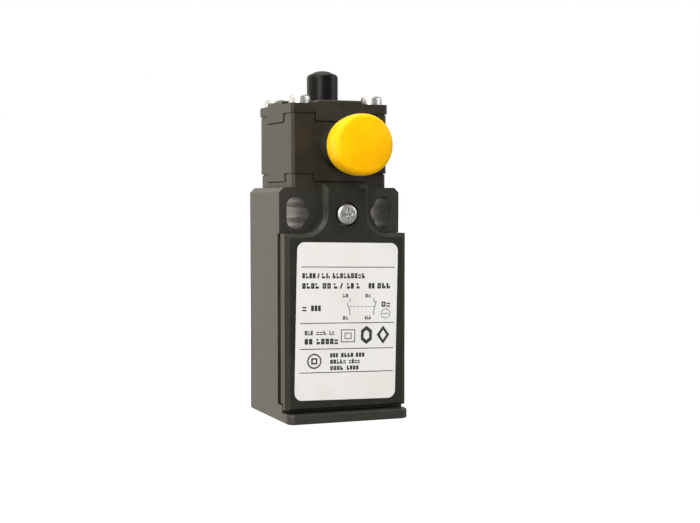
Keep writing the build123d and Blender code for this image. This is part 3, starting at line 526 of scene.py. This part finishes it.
contactSizes = dict(
    line=0.16, thin=0.8,
    strokes=((0.7, 5.3, 0.7, 4.4), (-0.05, 4.25, 0.7, 2.3), (0.7, 2.3, 0.7, 1.4), (6.67, 5.3, 6.67, 4.45),
             (6.67, 4.45, 7.4, 4.45), (7.25, 4.6, 6.67, 2.3), (6.67, 2.3, 6.67, 1.4)),
    dashes=7, dash=0.55, dashStep=0.95, dashStart=0.55, dashHeight=3.36,
    ring=(9.68, 1.72), ringOuter=1.16, ringInner=1.02, bar=(9.0, 1.72, 10.3, 1.72),
)


def contacts(shape, sizes, back, front):
    # the contact diagram: one pair that makes, one that breaks, and the dashed link between them
    for ends in sizes["strokes"]:
        prism(shape, stroke(*ends, sizes["line"]), back, front, 1)
    height, thin = sizes["dashHeight"], sizes["line"] * sizes["thin"]
    for i in range(sizes["dashes"]):
        start = sizes["dashStart"] + i * sizes["dashStep"]
        prism(shape, stroke(start, height, start + sizes["dash"], height, thin), back, front, 1)
    hoop(shape, circle(*sizes["ring"], sizes["ringOuter"]), circle(*sizes["ring"], sizes["ringInner"]),
         back, front, 1)
    prism(shape, stroke(*sizes["bar"], sizes["line"]), back, front, 1)


markSizes = dict(
    # outer and inner corners of the nested squares
    squares=(((-1.39, -4.89, 2.13, -1.91), (-1.19, -4.69, 1.93, -2.11)),
             ((-0.5, -4.12, 1.24, -2.68), (-0.32, -3.94, 1.06, -2.86))),
    # middle and number of sides of the bold shapes
    shapes=((4.95, 6), (9.15, 4)), shapeHeight=-3.27, wide=1.6, tall=2.15, wideLine=0.8, tallLine=0.96,
    ring=(-7.87, -9.16), ringOuter=1.75, ringInner=1.42,
    ringSquare=((-8.6, -9.89, -7.14, -8.43), (-8.25, -9.54, -7.49, -8.78)),
)


def marks(shape, sizes, back, front):
    # nested squares for double insulation, then plain shapes where the approval marks go
    for outer, inner in sizes["squares"]:
        hoop(shape, box(*outer), box(*inner), back, front, 1)
    wide, tall, height = sizes["wide"], sizes["tall"], sizes["shapeHeight"]
    for x, sides in sizes["shapes"]:
        turns = [math.pi / 2 + 2 * math.pi * i / sides for i in range(sides)]
        outer = [(x + wide * math.cos(turn), height + tall * math.sin(turn)) for turn in turns]
        wideInner, tallInner = wide - sizes["wideLine"], tall - sizes["tallLine"]
        inner = [(x + wideInner * math.cos(turn), height + tallInner * math.sin(turn)) for turn in turns]
        hoop(shape, outer, inner, back, front, 1)
    hoop(shape, circle(*sizes["ring"], sizes["ringOuter"]), circle(*sizes["ring"], sizes["ringInner"]),
         back, front, 1)
    hoop(shape, *[box(*corners) for corners in sizes["ringSquare"]], back, front, 1)


def ratingLabel(sizes):
    shape = bmesh.new()
    low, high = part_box("rating_label")
    film = (low.y - high.y) / mm
    printed = film - sizes["print"]
    rooted = film + sizes["print"]
    prism(shape, roundedBox(sizes["width"], sizes["height"], sizes["corner"]), 0.0, film)
    for z in sizes["rules"]:
        rule = stroke(sizes["ruleStart"], z, sizes["ruleEnd"], z, sizes["ruleWidth"])
        prism(shape, rule, rooted, printed, 1)
    dice = random.Random(sizes["seed"])
    for middle, height, share, spans in sizes["words"]:
        for start, end in spans:
            greekedWord(shape, dice, start, end, middle, height, share, rooted, printed)
    contacts(shape, contactSizes, rooted, printed)
    marks(shape, markSizes, rooted, printed)
    lean = Matrix.Rotation(math.radians(-sizes["tilt"]), 4, "Y")
    move = Matrix.Translation(((low.x + high.x) / 2, high.y, (low.z + high.z) / 2))
    shape.transform(move @ Matrix.Scale(mm, 4) @ lean)
    piece = meshPiece("ratingLabel", shape, "white_label", "cover", [finishes["white_label"], ink])
    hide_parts("rating_label")


ratingLabel(labelSizes)
print("label made")

springSizes = {
    # the CAD spring each one stands for, the joint that presses it, and the way it is wound
    "plungerSpring": dict(node="plunger_spring", joint="plunger_slide", way=(0, 0, 1),
                          wire=0.35 * mm, turns=6),
    "carrierSpring": dict(node="carrier_spring", joint="carrier_slide", way=(0, 0, 1),
                          wire=0.25 * mm, turns=5),
    "resetSpring": dict(node="reset_spring", joint="reset_slide", way=(0, -1, 0),
                        wire=0.3 * mm, turns=7),
}
winding = dict(closed=0.9, around=36, section=10)     # closed turns at each end, and the mesh's steps
travel = {joint["name"]: max(abs(limit) for limit in joint["range_m"]) for joint in frame["joints"]}


def join(shape, rings, smooth):
    # faces between rings that have the same number of points
    for first, second in zip(rings, rings[1:]):
        for k in range(len(first)):
            j = (k + 1) % len(first)
            shape.faces.new((first[k], first[j], second[j], second[k])).smooth = smooth


def coil(name, sizes):
    # a compression spring with closed ends, wound from its seat to the end that moves
    low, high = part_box(sizes["node"])
    middle, half = (low + high) / 2, (high - low) / 2
    way = Vector(sizes["way"])
    reach = way * abs(half.dot(way))
    start, end = middle - reach, middle + reach
    axis = (end - start).normalized()
    length = (end - start).length
    across = axis.orthogonal().normalized()
    other = axis.cross(across)
    wire = sizes["wire"]
    radius = half.x - wire
    closed, around, section = winding["closed"], winding["around"], winding["section"]
    run = length - 2 * wire - 4 * closed * wire
    shape = bmesh.new()
    rings = []
    count = round((sizes["turns"] + 2 * closed) * around)
    for i in range(count + 1):
        turn = i / around
        share = min(max((turn - closed) / sizes["turns"], 0.0), 1.0)
        lead = 2 * wire * min(turn, closed)
        tail = 2 * wire * max(turn - closed - sizes["turns"], 0.0)
        height = wire + lead + run * share + tail
        angle = 2 * math.pi * turn
        out = across * math.cos(angle) + other * math.sin(angle)
        centre = start + axis * height + out * radius
        ring = []
        for k in range(section):
            turnIn = 2 * math.pi * k / section
            spoke = out * wire * math.cos(turnIn) + axis * wire * math.sin(turnIn)
            ring.append(shape.verts.new(centre + spoke))
        rings.append(ring)
    join(shape, rings, True)
    shape.faces.new(rings[0][::-1])
    shape.faces.new(rings[-1])
    piece = meshPiece(name, shape, "spring_steel", "housing")
    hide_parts(sizes["node"])
    (length - travel[sizes["joint"]]) / length
    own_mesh(piece)


for name, sizes in springSizes.items():
    coil(name, sizes)
print("springs made")

threadSizes = dict(
    root=9.3, crest=8.95, pitch=1.5, bottom=0.6, top=8.3, around=72,
    flank=0.42, land=0.1, fadeTurns=0.5,      # half widths in pitches, and how soon the ridge is full
)


def entryThread(sizes):
    # the female thread of the cable entry, as a ridge wound up the bore
    around, pitch, root = sizes["around"], sizes["pitch"], sizes["root"]
    count = round((sizes["top"] - sizes["bottom"] - pitch) / pitch * around)
    profile = ((root, -sizes["flank"]), (sizes["crest"], -sizes["land"]),
               (sizes["crest"], sizes["land"]), (root, sizes["flank"]))
    shape = bmesh.new()
    rows = []
    for i in range(count + 1):
        angle = 2 * math.pi * i / around
        fade = min(1.0, min(i, count - i) / around / sizes["fadeTurns"])
        height = sizes["bottom"] + pitch * (0.5 + i / around)
        row = []
        for radius, rise in profile:
            reach = root + (radius - root) * fade
            row.append(shape.verts.new((reach * math.cos(angle), reach * math.sin(angle),
                                        height + rise * pitch)))
        rows.append(row)
    join(shape, rows, False)
    shape.transform(Matrix.Scale(mm, 4))
    bmesh.ops.remove_doubles(shape, verts=shape.verts, dist=1e-7)
    meshPiece("entryThread", shape, "black_case", "housing")


entryThread(threadSizes)
print("entry thread made")

studio = dict(
    floorTop=-0.2 * mm, floorSize=6.0, floorGlow=0.86, floorDark=(0.5, 0.5, 0.5, 1.0),
    floorLight=(0.54, 0.54, 0.54, 1.0), floorRoughness=0.9, tone=80 * mm,
    tooth=1.2 * mm, toothDepth=0.02 * mm, toothSheen=0.05, white=(1.0, 1.0, 1.0, 1.0),
    # how bright the surroundings are towards each side, and which way the bright side lies
    surroundings=((0.0, 0.4), (0.45, 0.42), (0.7, 0.7), (0.9, 1.4), (1.0, 1.6)), strength=2.0,
    brightSide=(-0.5, 0.8, 0.33), warm=(1.0, 0.94, 0.82), neutral=(1.0, 0.985, 0.96),
    lights=(
        # name, where, what it faces, width and height, strength in watts, colour
        ("keySoftbox", (-0.55, -0.42, 0.55), (0.0, 0.0, 0.04), 0.45, 6.5, (1.0, 0.975, 0.94)),
        ("lowCard", (-0.62, -0.75, 0.12), (0.0, 0.0, 0.04), 0.3, 3.6, (1.0, 0.98, 0.95)),
        ("fillCard", (0.85, -0.3, 0.35), (0.0, 0.0, 0.04), 0.5, 3.0, (1.0, 0.98, 0.96)),
        ("topCard", (0.0, 0.05, 0.7), (0.0, 0.0, 0.05), 0.4, 2.0, (1.0, 0.99, 0.97)),
    ),
)


def place(name, data, where):
    thing = bpy.data.objects.new(name, data)
    bpy.context.scene.collection.objects.link(thing)
    thing.location = where
    return thing


def makeFloor(sizes):
    # a matt floor that only the camera sees
    shape = bmesh.new()
    half = sizes["floorSize"] / 2
    shape.faces.new([shape.verts.new((x, y, sizes["floorTop"])) for x, y in box(-half, -half, half, half)])
    mesh = bpy.data.meshes.new("floor")
    shape.to_mesh(mesh)
    shape.free()
    paper = Finish(bpy.data.materials.new("floor_paper"))
    tooth = paper.noise(sizes["tooth"], detail=3.0, rough=0.6, seed=1.0)
    tone = paper.noise(sizes["tone"], detail=2.0, rough=0.5, seed=2.0)
    mesh.materials.append(paper.surface({
        "Base Color": paper.tint(tone, sizes["floorDark"], sizes["floorLight"]),
        "Roughness": sizes["floorRoughness"] - tooth * sizes["toothSheen"],
        "Normal": paper.bump(tooth, sizes["toothDepth"]), "Specular IOR Level": 0.0,
        "Emission Color": sizes["white"], "Emission Strength": sizes["floorGlow"]}))
    floor = place("floor", mesh, (0, 0, 0))
    floor.visible_diffuse = False
    floor.visible_glossy = False


def makeLights(sizes):
    for name, where, target, width, strength, shade in sizes["lights"]:
        light = bpy.data.lights.new(name, "AREA")
        light.shape, light.size, light.energy, light.color = "SQUARE", width, strength, shade
        lamp = place(name, light, where)
        lamp.rotation_euler = (Vector(target) - lamp.location).to_track_quat("-Z", "Y").to_euler()


def lightWorld(sizes):
    # white to look at; as a light it is bright behind on one side and dim in front
    sky = Finish(bpy.data.worlds.new("studio"), "Generated")
    share = sky.along(sky.place, Vector(sizes["brightSide"]).normalized()) * 0.5 + 0.5
    stops = []
    for position, level in sizes["surroundings"]:
        shade = [n + (w - n) * position for w, n in zip(sizes["warm"], sizes["neutral"])]
        stops.append((position, (*[level * part / sizes["strength"] for part in shade], 1.0)))
    ramp = sky.node("ShaderNodeValToRGB", {"stops": stops}, {"Fac": share})
    lit = sky.node("ShaderNodeBackground", {}, {"Color": ramp, "Strength": sizes["strength"]})
    seen = sky.node("ShaderNodeBackground", {}, {"Color": sizes["white"], "Strength": 1.0})
    camera = sky.node("ShaderNodeLightPath", output="Is Camera Ray")
    shown = sky.node("ShaderNodeMixShader", {}, {0: camera, 1: lit, 2: seen})
    sky.node("ShaderNodeOutputWorld", {}, {"Surface": shown})
    bpy.context.scene.world = sky.owner


cameraSizes = dict(sensor=36, lens=69.652, where=(-0.114617, -0.307786, 0.051520), pitch=-2.639, turn=-21.591)


def makeCamera(sizes):
    lens = bpy.data.cameras.new("camera")
    lens.sensor_width = sizes["sensor"]
    lens.lens = sizes["lens"]
    camera = place("camera", lens, sizes["where"])
    camera.rotation_euler = (math.radians(90 + sizes["pitch"]), 0.0, math.radians(sizes["turn"]))
    bpy.context.scene.camera = camera


makeFloor(studio)
makeLights(studio)
lightWorld(studio)
makeCamera(cameraSizes)
bpy.context.scene.view_settings.view_transform = "Standard"
print("studio made")
